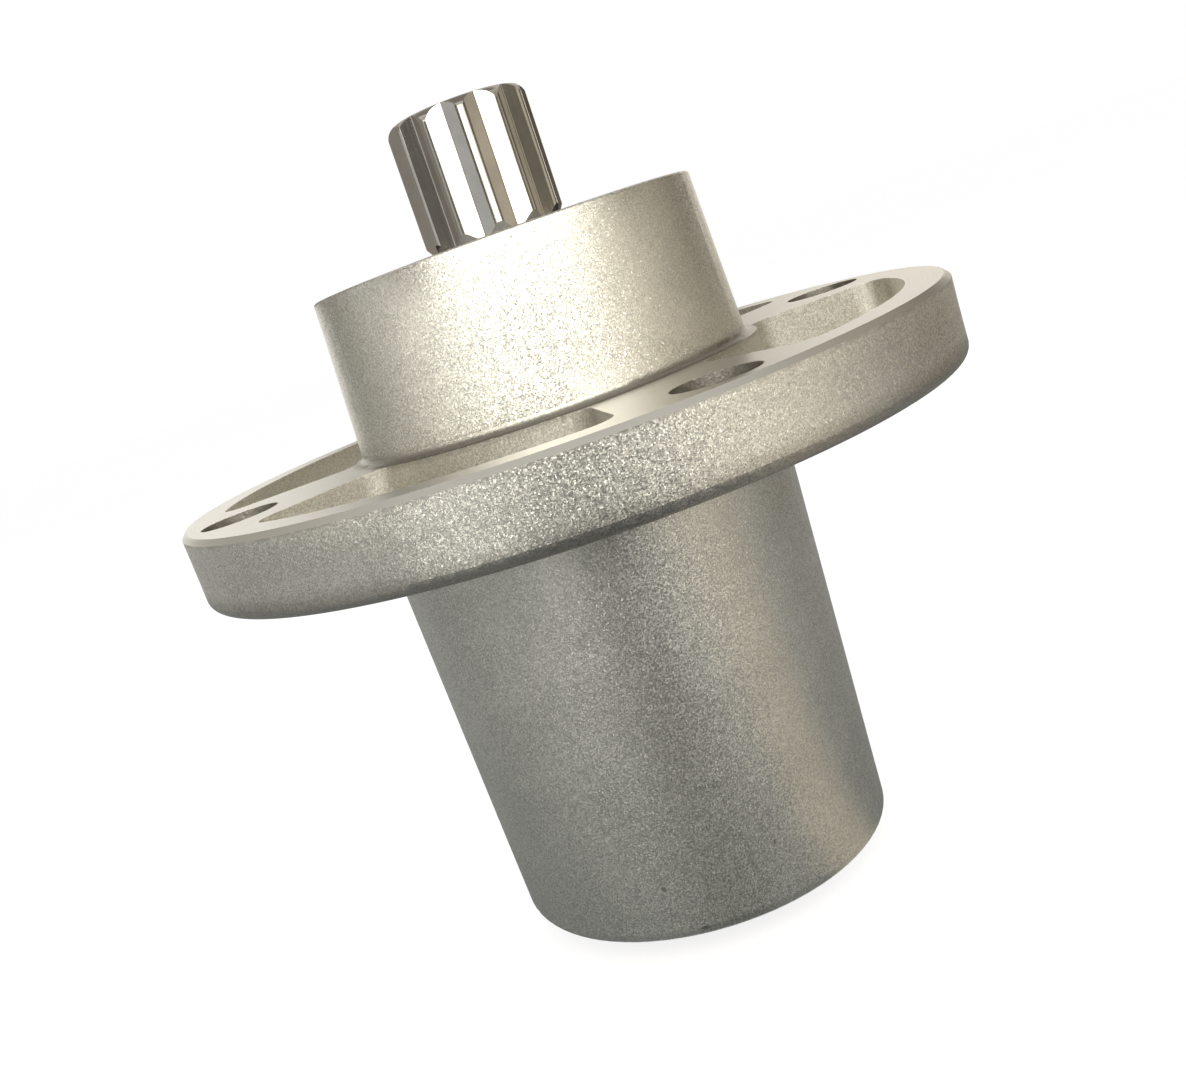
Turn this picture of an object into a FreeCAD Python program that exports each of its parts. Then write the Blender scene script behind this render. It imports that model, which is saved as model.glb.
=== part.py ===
import FreeCAD, Part

"""Mower deck spindle: a cast flanged housing, a splined shaft and the two sealed ball bearings between them.

All lengths are millimetres and all angles degrees. The origin is the centre of the flange's machined
upper face, and +Z runs along the shaft towards its splined end.
"""

import math
import os

import Sketcher
from FreeCAD import Placement, Rotation, Vector

SIZES = {
    # Housing: flange
    "flange_dia": 140.0,
    "flange_thick": 13.8,
    "rim_taper": 0.2,
    "rim_chamfer": 0.9,
    "rim_fillet": 2.0,
    # Housing: boss above the flange
    "boss_base_dia": 71.8,
    "boss_top_dia": 69.2,
    "boss_height": 29.1,
    "boss_root_fillet": 1.5,
    "boss_edge_fillet": 0.5,
    # Housing: tube below the flange
    "tube_top_dia": 75.0,
    "tube_foot_dia": 69.8,
    "tube_length": 77.3,
    "tube_root_fillet": 5.0,
    "tube_edge_fillet": 2.5,
    # Housing: inside
    "cavity_dia": 44.0,
    "bearing_recess": 3.0,
    "seat_lead": 0.8,
    # Flange: bolt holes and the kidney pockets between them
    "bolt_count": 4,
    "bolt_circle_dia": 120.0,
    "bolt_hole_dia": 13.5,
    "pocket_outer_dia": 125.8,
    "pocket_ledge": 0.4,
    "pocket_half_angle": 30.5,
    "pocket_depth": 9.0,
    "pocket_corner_fillet": 4.5,
    "pocket_floor_fillet": 1.5,
    # Bearings: rings
    "bearing_bore": 25.4,
    "bearing_dia": 52.0,
    "bearing_width": 15.0,
    "ring_chamfer": 0.8,
    "race_depth": 1.6,
    "race_opening": 0.16,
    "press_play": 0.01,
    # Bearings: balls and cage
    "ball_count": 9,
    "ball_dia": 7.938,
    "ball_play": 0.02,
    "cage_play": 0.08,
    "cage_sheet": 0.7,
    "cage_inward": 1.8,
    "cage_outward": 1.5,
    "rivet_dia": 1.3,
    "rivet_head_dia": 2.1,
    "rivet_head_height": 0.5,
    # Bearings: seals
    "seal_setback": 0.5,
    "seal_sheet": 1.2,
    "seal_bead": 0.6,
    "seal_bead_play": 0.03,
    "seal_lip": 0.5,
    "seal_lip_play": 0.08,
    # Spacer between the inner rings
    "spacer_wall": 3.0,
    "spacer_play": 0.15,
    "spacer_chamfer": 0.6,
    # Shaft: turned form
    "shaft_rise": 23.7,
    "shaft_drop": 6.0,
    "blade_seat_dia": 34.0,
    "blade_seat_chamfer": 1.0,
    "collar_dia": 30.6,
    "collar_height": 2.0,
    "journal_extra": 1.5,
    "journal_chamfer": 1.0,
    "journal_relief": 0.3,
    "journal_overlap": 4.0,
    # Shaft: spline
    "spline_count": 12,
    "spline_dia": 25.3,
    "spline_length": 23.4,
    "spline_depth": 1.4,
    "spline_root_radius": 0.5,
    "spline_crest_radius": 1.5,
    "spline_crest_lift": 0.005,
    "spline_top_fillet": 2.2,
    "spline_foot_length": 2.0,
    "spline_foot_depth": 1.3,
    "spline_neck_play": 0.1,
    "spline_turn": 13.5,
    # Shaft: tapped holes, as wide as their threads outside, and below that as their cores
    "pulley_tap_thread_dia": 10.0,
    "pulley_tap_thread_depth": 21.0,
    "pulley_tap_core_dia": 8.5,
    "pulley_tap_core_depth": 26.0,
    "pulley_tap_mouth_dia": 10.8,
    "blade_tap_thread_dia": 12.0,
    "blade_tap_thread_depth": 28.0,
    "blade_tap_core_dia": 10.2,
    "blade_tap_core_depth": 34.0,
    "blade_tap_mouth_dia": 13.0,
    "drill_tip_angle": 118.0,
}

SHEET = "Sizes"
START, END, CENTRE = range(1, 4)
HORIZONTAL_AXIS, VERTICAL_AXIS = range(-1, -3, -1)
ORIGIN_POINT = (HORIZONTAL_AXIS, START)
SAME_PLACE = 1e-4
OVERSHOOT = 1.0


class Size:
    """A number together with the sheet formula that gives it."""

    def __init__(self, value, formula):
        self.value = value
        self.formula = formula

    def __add__(self, other):
        other = as_size(other)
        return Size(self.value + other.value, f"({self.formula} + {other.formula})")

    def __sub__(self, other):
        other = as_size(other)
        return Size(self.value - other.value, f"({self.formula} - {other.formula})")

    def __mul__(self, other):
        other = as_size(other)
        return Size(self.value * other.value, f"({self.formula} * {other.formula})")

    def __truediv__(self, other):
        other = as_size(other)
        return Size(self.value / other.value, f"({self.formula} / {other.formula})")


def as_size(number):
    """Lets a plain number, such as the 2 that halves a diameter, stand in a formula."""
    if isinstance(number, Size):
        return number
    return Size(float(number), repr(float(number)))


def cosine(angle):
    return Size(math.cos(math.radians(angle.value)), f"cos({angle.formula})")


def sine(angle):
    return Size(math.sin(math.radians(angle.value)), f"sin({angle.formula})")


def tangent(angle):
    return Size(math.tan(math.radians(angle.value)), f"tan({angle.formula})")


ZERO = as_size(0)

doc = FreeCAD.newDocument("MowerDeckSpindle")
nodes = []


def make_sheet():
    """Writes every driving size into the sheet and returns the sizes by name."""
    sheet = doc.addObject("Spreadsheet::Sheet", SHEET)
    for row, (name, value) in enumerate(SIZES.items(), start=1):
        sheet.set(f"A{row}", name)
        sheet.set(f"B{row}", repr(value))
        sheet.setAlias(f"B{row}", name)
    doc.recompute()
    return {name: Size(value, f"{SHEET}.{name}") for name, value in SIZES.items()}


s = make_sheet()

# Levels above the flange face, and the radii that pieces share

flange_under = ZERO - s["flange_thick"]
boss_top = s["boss_height"]
tube_foot = flange_under - s["tube_length"]
housing_height = s["tube_length"] + s["flange_thick"] + s["boss_height"]

upper_bearing_foot = boss_top - s["bearing_recess"] - s["bearing_width"]
lower_bearing_foot = tube_foot + s["bearing_recess"]
spacer_foot = lower_bearing_foot + s["bearing_width"]
spacer_length = upper_bearing_foot - spacer_foot

shaft_foot = tube_foot - s["shaft_drop"]
shaft_top = boss_top + s["shaft_rise"]

pitch_radius = (s["bearing_bore"] + s["bearing_dia"]) / 4
ball_radius = s["ball_dia"] / 2
race_radius = ball_radius + s["race_opening"]
outer_race_floor = pitch_radius + ball_radius + s["ball_play"]
inner_race_floor = pitch_radius - ball_radius - s["ball_play"]
outer_land = outer_race_floor - s["race_depth"]
inner_land = inner_race_floor + s["race_depth"]
seal_groove_radius = outer_land + s["seal_bead"] + s["seal_bead"]
seal_mouth_radius = outer_land + s["seal_bead"]
journal_radius = s["bearing_bore"] / 2 - s["press_play"]
spline_radius = s["spline_dia"] / 2
spline_root = spline_radius - s["spline_depth"]


# Helpers for bodies, sketches and features


def new_body(label, level):
    """A body whose own origin lies on the spindle's axis, at the given level above the flange face."""
    body = doc.addObject("PartDesign::Body", label)
    body.Label = label
    body.setExpression("Placement.Base.z", level.formula)
    nodes.append(body)
    return body


def origin_part(body, role):
    """One of the body's own origin planes or axes."""
    return next(part for part in body.Origin.OriginFeatures if part.Role == role)


def new_sketch(body, name, plane, lift=ZERO):
    """A sketch on one of the body's origin planes, lifted along the plane's normal."""
    sketch = body.newObject("Sketcher::SketchObject", name)
    sketch.AttachmentSupport = (origin_part(body, plane), [""])
    sketch.MapMode = "FlatFace"
    if lift.value:
        sketch.setExpression("AttachmentOffset.Base.z", lift.formula)
    return sketch


def tie(sketch, kind, geometry, point, size):
    """Holds a point at a signed distance from the sketch's origin, or on an axis where that is zero."""
    if size.value == 0:
        axis = VERTICAL_AXIS if kind == "DistanceX" else HORIZONTAL_AXIS
        sketch.addConstraint(Sketcher.Constraint("PointOnObject", geometry, point, axis))
        return
    if size.value > 0:
        ends = (*ORIGIN_POINT, geometry, point)
        length = size
    else:
        ends = (geometry, point, *ORIGIN_POINT)
        length = ZERO - size
    index = sketch.addConstraint(Sketcher.Constraint(kind, *ends, length.value))
    sketch.setExpression(f"Constraints[{index}]", length.formula)


def tie_radius(sketch, geometry, radius):
    index = sketch.addConstraint(Sketcher.Constraint("Radius", geometry, radius.value))
    sketch.setExpression(f"Constraints[{index}]", radius.formula)


def join(sketch, first, second, kind="Coincident", ends=(END, START)):
    """Joins two lines or arcs, unless told otherwise the end of the first to the start of the second."""
    sketch.addConstraint(Sketcher.Constraint(kind, first, ends[0], second, ends[1]))


def add_outline(sketch, corners):
    """A closed outline of straight lines with each corner tied to the sheet."""
    points = [Vector(x.value, y.value, 0) for x, y in corners]
    lines = [sketch.addGeometry(Part.LineSegment(a, b)) for a, b in zip(points, points[1:] + points[:1])]
    for line, following in zip(lines, lines[1:] + lines[:1]):
        join(sketch, line, following)
    for line, (x, y) in zip(lines, corners):
        tie(sketch, "DistanceX", line, START, x)
        tie(sketch, "DistanceY", line, START, y)


def add_circle(sketch, x, y, radius):
    circle = sketch.addGeometry(Part.Circle(Vector(x.value, y.value, 0), Vector(0, 0, 1), radius.value))
    tie(sketch, "DistanceX", circle, CENTRE, x)
    tie(sketch, "DistanceY", circle, CENTRE, y)
    tie_radius(sketch, circle, radius)
    return circle


def turn(body, name, corners):
    """Turns an outline of radius and height pairs about the body's Z axis."""
    sketch = new_sketch(body, f"{name}_outline", "XZ_Plane")
    add_outline(sketch, corners)
    feature = body.newObject("PartDesign::Revolution", name)
    feature.Profile = (sketch, [""])
    feature.ReferenceAxis = (sketch, ["V_Axis"])
    feature.Angle = 360
    doc.recompute()
    return feature


def turn_away(body, name, sketch):
    """Cuts a groove by turning a sketch about the body's Z axis."""
    before = body.Shape.Volume
    feature = body.newObject("PartDesign::Groove", name)
    feature.Profile = (sketch, [""])
    feature.ReferenceAxis = (sketch, ["V_Axis"])
    feature.Angle = 360
    must_cut(body, before, name)
    return feature


def cut_down(body, name, sketch, depth):
    """Cuts a pocket of the given depth, from the sketch towards the body's foot."""
    before = body.Shape.Volume
    feature = body.newObject("PartDesign::Pocket", name)
    feature.Profile = (sketch, [""])
    feature.setExpression("Length", depth.formula)
    must_cut(body, before, name)
    return feature


def must_cut(body, before, name):
    """Stops the build if a cut left the body's volume as it was."""
    doc.recompute()
    if not body.Shape.Volume < before - SAME_PLACE:
        raise ValueError(f"{name} cut nothing from {body.Label}")


def repeat_round(body, name, feature, count):
    """Repeats a feature evenly round the body's Z axis."""
    pattern = body.newObject("PartDesign::PolarPattern", name)
    pattern.Originals = [feature]
    pattern.Axis = (origin_part(body, "Z_Axis"), [""])
    pattern.Angle = 360
    pattern.setExpression("Occurrences", count.formula)
    body.Tip = pattern
    doc.recompute()
    return pattern


def round_edges(body, name, radius, wanted):
    """Rounds the edges of the body's last feature that the wanted function picks."""
    base = body.Tip
    names = [f"Edge{i}" for i, edge in enumerate(base.Shape.Edges, start=1) if wanted(edge)]
    if not names:
        raise ValueError(f"{name} found no edge on {body.Label}")
    feature = body.newObject("PartDesign::Fillet", name)
    feature.Base = (base, names)
    feature.setExpression("Radius", radius.formula)
    doc.recompute()
    return feature


def ring_edge(radius, height):
    """Picks the full circle of the given radius and height."""

    def wanted(edge):
        if not isinstance(edge.Curve, Part.Circle):
            return False
        off_radius = abs(edge.Curve.Radius - radius.value)
        return off_radius < SAME_PLACE and abs(edge.Curve.Center.z - height.value) < SAME_PLACE

    return wanted


# Housing


def housing():
    """One casting, turned in outline, with the bearing seats bored from both ends."""
    body = new_body("housing", tube_foot)
    flange_foot = s["tube_length"]
    flange_face = flange_foot + s["flange_thick"]
    seat_radius = s["bearing_dia"] / 2 + s["press_play"]
    seat_mouth = seat_radius + s["seat_lead"]
    seat_depth = s["bearing_recess"] + s["bearing_width"]
    cavity_radius = s["cavity_dia"] / 2
    rim_radius = s["flange_dia"] / 2
    rim_foot_radius = rim_radius - s["rim_taper"]
    tube_foot_radius = s["tube_foot_dia"] / 2
    tube_root_radius = s["tube_top_dia"] / 2
    boss_root_radius = s["boss_base_dia"] / 2
    boss_rim_radius = s["boss_top_dia"] / 2
    turn(body, "casting", [
        (seat_mouth, ZERO),
        (tube_foot_radius, ZERO),
        (tube_root_radius, flange_foot),
        (rim_foot_radius, flange_foot),
        (rim_radius, flange_face - s["rim_chamfer"]),
        (rim_radius - s["rim_chamfer"], flange_face),
        (boss_root_radius, flange_face),
        (boss_rim_radius, housing_height),
        (seat_mouth, housing_height),
        (seat_radius, housing_height - s["seat_lead"]),
        (seat_radius, housing_height - seat_depth),
        (cavity_radius, housing_height - seat_depth),
        (cavity_radius, seat_depth),
        (seat_radius, seat_depth),
        (seat_radius, s["seat_lead"]),
    ])
    round_edges(body, "tube_edge", s["tube_edge_fillet"], ring_edge(tube_foot_radius, ZERO))
    round_edges(body, "tube_root", s["tube_root_fillet"], ring_edge(tube_root_radius, flange_foot))
    round_edges(body, "rim_edge", s["rim_fillet"], ring_edge(rim_foot_radius, flange_foot))
    round_edges(body, "boss_root", s["boss_root_fillet"], ring_edge(boss_root_radius, flange_face))
    round_edges(body, "boss_edge", s["boss_edge_fillet"], ring_edge(boss_rim_radius, housing_height))
    kidney_pockets(body, flange_face, boss_root_radius + s["boss_root_fillet"] + s["pocket_ledge"])
    bolt_holes(body, flange_face)


def kidney_pockets(body, face, inner_radius):
    """Blind kidney pockets centred on the X and Y axes, with rounded corners and floors."""
    outer_radius = s["pocket_outer_dia"] / 2
    half = s["pocket_half_angle"]
    sketch = new_sketch(body, "pocket_outline", "XY_Plane", face)
    add_kidney(sketch, inner_radius, outer_radius, half)
    pocket = cut_down(body, "pocket", sketch, s["pocket_depth"])
    repeat_round(body, "pockets", pocket, s["bolt_count"])
    floor = face - s["pocket_depth"]

    def upright(edge):
        low, high = edge.BoundBox.ZMin, edge.BoundBox.ZMax
        spans = abs(low - floor.value) < SAME_PLACE and abs(high - face.value) < SAME_PLACE
        return spans and isinstance(edge.Curve, Part.Line)

    def on_floor(edge):
        box = edge.BoundBox
        return abs(box.ZMin - floor.value) < SAME_PLACE and abs(box.ZMax - floor.value) < SAME_PLACE

    round_edges(body, "pocket_corners", s["pocket_corner_fillet"], upright)
    round_edges(body, "pocket_floors", s["pocket_floor_fillet"], on_floor)


def add_kidney(sketch, inner_radius, outer_radius, half):
    """A piece of a ring between two radii, spread evenly about the sketch's X axis."""
    spread = math.radians(half.value)
    upright = Vector(0, 0, 1)
    outer = sketch.addGeometry(
        Part.ArcOfCircle(Part.Circle(Vector(), upright, outer_radius.value), -spread, spread))
    inner = sketch.addGeometry(
        Part.ArcOfCircle(Part.Circle(Vector(), upright, inner_radius.value), -spread, spread))
    reach = {}
    for arc, radius in ((outer, outer_radius), (inner, inner_radius)):
        along = radius.value * math.cos(spread)
        across = radius.value * math.sin(spread)
        reach[arc] = [Vector(along, -across, 0), Vector(along, across, 0)]
        sketch.addConstraint(Sketcher.Constraint("Coincident", arc, CENTRE, *ORIGIN_POINT))
        tie_radius(sketch, arc, radius)
        tie(sketch, "DistanceY", arc, START, ZERO - radius * sine(half))
        tie(sketch, "DistanceY", arc, END, radius * sine(half))
    for point, place in ((START, 0), (END, 1)):
        side = sketch.addGeometry(Part.LineSegment(reach[inner][place], reach[outer][place]))
        sketch.addConstraint(Sketcher.Constraint("Coincident", side, START, inner, point))
        sketch.addConstraint(Sketcher.Constraint("Coincident", side, END, outer, point))


def bolt_holes(body, face):
    """Through holes midway between the pockets."""
    turned = as_size(180) / s["bolt_count"]
    circle_radius = s["bolt_circle_dia"] / 2
    sketch = new_sketch(body, "bolt_hole_outline", "XY_Plane", face + OVERSHOOT)
    add_circle(sketch, circle_radius * cosine(turned), circle_radius * sine(turned), s["bolt_hole_dia"] / 2)
    hole = cut_down(body, "bolt_hole", sketch, s["flange_thick"] + 2 * OVERSHOOT)
    repeat_round(body, "bolt_holes", hole, s["bolt_count"])


# Shaft


def spindle_shaft():
    """One turned shaft: blade seat, collar, two journals, neck and splined end, tapped at both ends."""
    body = new_body("spindle_shaft", shaft_foot)
    body.setExpression("Placement.Rotation.Angle", s["spline_turn"].formula)
    height = shaft_top - shaft_foot
    collar_top = lower_bearing_foot - shaft_foot
    collar_foot = collar_top - s["collar_height"]
    lower_journal_top = collar_top + s["bearing_width"] + s["journal_overlap"]
    upper_journal_foot = upper_bearing_foot - shaft_foot - s["journal_overlap"]
    upper_journal_top = upper_bearing_foot + s["bearing_width"] + s["journal_extra"] - shaft_foot
    relief_radius = journal_radius - s["journal_relief"]
    neck_radius = spline_root - s["spline_neck_play"]
    spline_foot_radius = spline_radius - s["spline_foot_depth"]
    spline_foot = height - s["spline_length"]
    seat_radius = s["blade_seat_dia"] / 2
    collar_radius = s["collar_dia"] / 2
    turn(body, "turned", [
        (ZERO, ZERO),
        (seat_radius - s["blade_seat_chamfer"], ZERO),
        (seat_radius, s["blade_seat_chamfer"]),
        (seat_radius, collar_foot),
        (collar_radius, collar_foot),
        (collar_radius, collar_top),
        (journal_radius, collar_top),
        (journal_radius, lower_journal_top),
        (relief_radius, lower_journal_top + s["journal_relief"]),
        (relief_radius, upper_journal_foot - s["journal_relief"]),
        (journal_radius, upper_journal_foot),
        (journal_radius, upper_journal_top - s["journal_chamfer"]),
        (neck_radius, upper_journal_top),
        (neck_radius, spline_foot),
        (spline_foot_radius, spline_foot),
        (spline_radius, spline_foot + s["spline_foot_length"]),
        (spline_radius, height),
        (ZERO, height),
    ])
    round_edges(body, "spline_top", s["spline_top_fillet"], ring_edge(spline_radius, height))
    spline(body, height)
    tapped_hole(body, "blade_tap", ZERO, 1)
    tapped_hole(body, "pulley_tap", height, -1)


def spline(body, height):
    """Twelve rounded ridges: flutes with flat flanks and a small root radius, cut along the upper end.

    The arcs over a ridge would meet a hair above the turned outside, which leaves a narrow land there.
    """
    crest_top = spline_radius + s["spline_crest_lift"]
    crest_centre = crest_top - s["spline_crest_radius"]
    sketch = new_sketch(body, "flute_outline", "XY_Plane", height + OVERSHOOT)
    add_flute(sketch, on_ridge(crest_centre), on_ridge(crest_top), on_ridge(crest_top + OVERSHOOT))
    flute = cut_down(body, "flute", sketch, s["spline_length"] + OVERSHOOT)
    repeat_round(body, "flutes", flute, s["spline_count"])


def on_ridge(radius):
    """A point on the line from the axis through the ridge beside the first flute."""
    half_pitch = as_size(180) / s["spline_count"]
    return radius * cosine(half_pitch), radius * sine(half_pitch)


def add_flute(sketch, crest_centre, crest_top, outside):
    """A flute symmetric about the X axis: root arc, flat flanks, half of each crest and a closing outline.

    A flank touches the root arc on one side and the crest arc on the other, so it leans away from the
    line between their centres by the angle whose sine is the sum of the radii over that distance.
    """
    root = s["spline_root_radius"]
    crest = s["spline_crest_radius"]
    root_centre = spline_root + root
    span = Vector(crest_centre[0].value - root_centre.value, crest_centre[1].value, 0)
    slant = math.atan2(span.y, span.x) - math.asin((root.value + crest.value) / span.Length)
    quarter = math.pi / 2
    ridge_angle = math.pi / s["spline_count"].value
    root_arc = add_arc(sketch, (root_centre, ZERO), root, slant + quarter, 3 * quarter - slant)
    rises = []
    for side, at_flank, at_ridge in ((-1, END, START), (1, START, END)):
        angles = sorted((side * (slant - quarter), side * ridge_angle))
        crest_arc = add_arc(sketch, (crest_centre[0], crest_centre[1] * side), crest, *angles)
        tie(sketch, "DistanceY", crest_arc, at_ridge, crest_top[1] * side)
        join_line(sketch, (root_arc, at_flank), (crest_arc, at_flank), "Tangent")
        corner = Vector(outside[0].value, outside[1].value * side, 0)
        rise = sketch.addGeometry(Part.LineSegment(sketch.getPoint(crest_arc, at_ridge), corner))
        join(sketch, crest_arc, rise, ends=(at_ridge, START))
        tie(sketch, "DistanceX", rise, END, outside[0])
        tie(sketch, "DistanceY", rise, END, outside[1] * side)
        rises.append(rise)
    join_line(sketch, (rises[0], END), (rises[1], END))


def add_arc(sketch, centre, radius, start, end):
    """An arc with its centre and radius tied to the sheet; its two ends are left to other ties."""
    x, y = centre
    circle = Part.Circle(Vector(x.value, y.value, 0), Vector(0, 0, 1), radius.value)
    arc = sketch.addGeometry(Part.ArcOfCircle(circle, start, end))
    tie(sketch, "DistanceX", arc, CENTRE, x)
    tie(sketch, "DistanceY", arc, CENTRE, y)
    tie_radius(sketch, arc, radius)
    return arc


def join_line(sketch, first, second, kind="Coincident"):
    """A line between two ends, each given as a line or arc and which of its ends."""
    points = [sketch.getPoint(*end) for end in (first, second)]
    line = sketch.addGeometry(Part.LineSegment(*points))
    join(sketch, first[0], line, kind, (first[1], START))
    join(sketch, line, second[0], kind, (END, second[1]))


def tapped_hole(body, name, mouth_level, way):
    """A hole running up (1) or down (-1): countersunk mouth, threaded length, drilled core and its point."""
    mouth_radius = s[f"{name}_mouth_dia"] / 2
    thread_radius = s[f"{name}_thread_dia"] / 2
    core_radius = s[f"{name}_core_dia"] / 2
    mouth_depth = mouth_radius - thread_radius
    thread_depth = s[f"{name}_thread_depth"]
    core_depth = s[f"{name}_core_depth"]
    run_out = thread_radius - core_radius
    point = core_radius / tangent(s["drill_tip_angle"] / 2)
    sketch = new_sketch(body, f"{name}_outline", "XZ_Plane")
    add_outline(sketch, [
        (ZERO, mouth_level),
        (mouth_radius, mouth_level),
        (thread_radius, mouth_level + mouth_depth * way),
        (thread_radius, mouth_level + thread_depth * way),
        (core_radius, mouth_level + (thread_depth + run_out) * way),
        (core_radius, mouth_level + core_depth * way),
        (ZERO, mouth_level + (core_depth + point) * way),
    ])
    turn_away(body, name, sketch)


# Spacer


def bearing_spacer():
    """Sleeve that keeps the two inner rings apart, with a loose bore over the shaft."""
    body = new_body("bearing_spacer", spacer_foot)
    bore = s["bearing_bore"] / 2 + s["spacer_play"]
    outside = bore + s["spacer_wall"]
    chamfer = s["spacer_chamfer"]
    turn(body, "sleeve", [
        (bore, ZERO),
        (outside - chamfer, ZERO),
        (outside, chamfer),
        (outside, spacer_length - chamfer),
        (outside - chamfer, spacer_length),
        (bore, spacer_length),
    ])


# Bearings


def bearing(name, foot):
    """A sealed deep-groove ball bearing whose lower side lies at the given level."""
    middle = foot + s["bearing_width"] / 2
    outer_ring(f"{name}_outer_ring", foot)
    inner_ring(f"{name}_inner_ring", foot)
    seal(f"{name}_top_seal", foot + s["bearing_width"], 180)
    seal(f"{name}_bottom_seal", foot, 0)
    cage_half(f"{name}_cage_top", middle, 0)
    cage_half(f"{name}_cage_bottom", middle, 180)
    cage_rivets(f"{name}_cage_rivets", middle)
    for number in range(SIZES["ball_count"]):
        ball(f"{name}_ball_{number + 1}", middle, number)


def race(body, centre_radius):
    """The round groove that the balls run in."""
    sketch = new_sketch(body, "race_outline", "XZ_Plane")
    add_circle(sketch, centre_radius, s["bearing_width"] / 2, race_radius)
    turn_away(body, "race", sketch)


def outer_ring(label, foot):
    """Outer ring with a ball race and, on each side, a groove that holds a seal's bead."""
    body = new_body(label, foot)
    outside = s["bearing_dia"] / 2
    width = s["bearing_width"]
    chamfer = s["ring_chamfer"]
    groove_foot = s["seal_setback"]
    groove_top = groove_foot + s["seal_sheet"]
    turn(body, "ring", [
        (seal_mouth_radius, ZERO),
        (outside - chamfer, ZERO),
        (outside, chamfer),
        (outside, width - chamfer),
        (outside - chamfer, width),
        (seal_mouth_radius, width),
        (seal_mouth_radius, width - groove_foot),
        (seal_groove_radius, width - groove_foot),
        (seal_groove_radius, width - groove_top),
        (outer_land, width - groove_top),
        (outer_land, groove_top),
        (seal_groove_radius, groove_top),
        (seal_groove_radius, groove_foot),
        (seal_mouth_radius, groove_foot),
    ])
    race(body, outer_race_floor - race_radius)


def inner_ring(label, foot):
    """Inner ring with a ball race between two lands that the seal lips run on."""
    body = new_body(label, foot)
    bore = s["bearing_bore"] / 2
    width = s["bearing_width"]
    chamfer = s["ring_chamfer"]
    turn(body, "ring", [
        (bore + chamfer, ZERO),
        (inner_land, ZERO),
        (inner_land, width),
        (bore + chamfer, width),
        (bore, width - chamfer),
        (bore, chamfer),
    ])
    race(body, inner_race_floor + race_radius)


def seal(label, side, flip):
    """Rubber seal: a bead in the outer ring's groove, a flat disc and a thin lip over the inner ring."""
    body = new_body(label, side)
    body.Placement = Placement(Vector(), Rotation(Vector(1, 0, 0), flip))
    play = s["seal_bead_play"]
    foot = s["seal_setback"] + play
    top = s["seal_setback"] + s["seal_sheet"] - play
    lip_radius = inner_land + s["seal_lip_play"]
    lip_root = lip_radius + s["seal_lip"] * 2
    turn(body, "disc", [
        (lip_radius, foot),
        (seal_groove_radius - play, foot),
        (seal_groove_radius - play, top),
        (lip_root, top),
        (lip_radius, foot + s["seal_lip"]),
    ])


def cage_half(label, middle, flip):
    """Pressed half of a ribbon cage: flat webs joined by an arch over each ball, drilled for the rivets."""
    body = new_body(label, middle)
    body.Placement = Placement(Vector(), Rotation(Vector(1, 0, 0), flip))
    sheet = s["cage_sheet"]
    inside = pitch_radius - s["cage_inward"]
    outside = pitch_radius + s["cage_outward"]
    hollow = ball_radius + s["cage_play"]
    turn(body, "web", [
        (inside, ZERO),
        (outside, ZERO),
        (outside, sheet),
        (inside, sheet),
    ])
    arch_sketch = new_sketch(body, "arch_outline", "YZ_Plane", inside)
    add_arch(arch_sketch, hollow + sheet)
    arch = body.newObject("PartDesign::Pad", "arch")
    arch.Profile = (arch_sketch, [""])
    arch.setExpression("Length", (outside - inside).formula)
    doc.recompute()
    repeat_round(body, "arches", arch, s["ball_count"])
    hollow_sketch = new_sketch(body, "hollow_outline", "YZ_Plane", outside + OVERSHOOT)
    add_circle(hollow_sketch, ZERO, ZERO, hollow)
    pocket = cut_down(body, "hollow", hollow_sketch, outside - inside + 2 * OVERSHOOT)
    repeat_round(body, "hollows", pocket, s["ball_count"])
    between = as_size(180) / s["ball_count"]
    rivet_sketch = new_sketch(body, "rivet_hole_outline", "XY_Plane", sheet + OVERSHOOT)
    add_circle(rivet_sketch, pitch_radius * cosine(between), pitch_radius * sine(between), s["rivet_dia"] / 2)
    hole = cut_down(body, "rivet_hole", rivet_sketch, sheet + 2 * OVERSHOOT)
    repeat_round(body, "rivet_holes", hole, s["ball_count"])


def add_arch(sketch, radius):
    """A half disc above the sketch's X axis."""
    circle = Part.Circle(Vector(), Vector(0, 0, 1), radius.value)
    arc = sketch.addGeometry(Part.ArcOfCircle(circle, 0, math.pi))
    chord = sketch.addGeometry(Part.LineSegment(Vector(-radius.value, 0, 0), Vector(radius.value, 0, 0)))
    sketch.addConstraint(Sketcher.Constraint("Coincident", arc, CENTRE, *ORIGIN_POINT))
    tie_radius(sketch, arc, radius)
    join(sketch, arc, chord)
    join(sketch, chord, arc)
    sketch.addConstraint(Sketcher.Constraint("PointOnObject", arc, START, HORIZONTAL_AXIS))
    sketch.addConstraint(Sketcher.Constraint("PointOnObject", arc, END, HORIZONTAL_AXIS))


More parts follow.
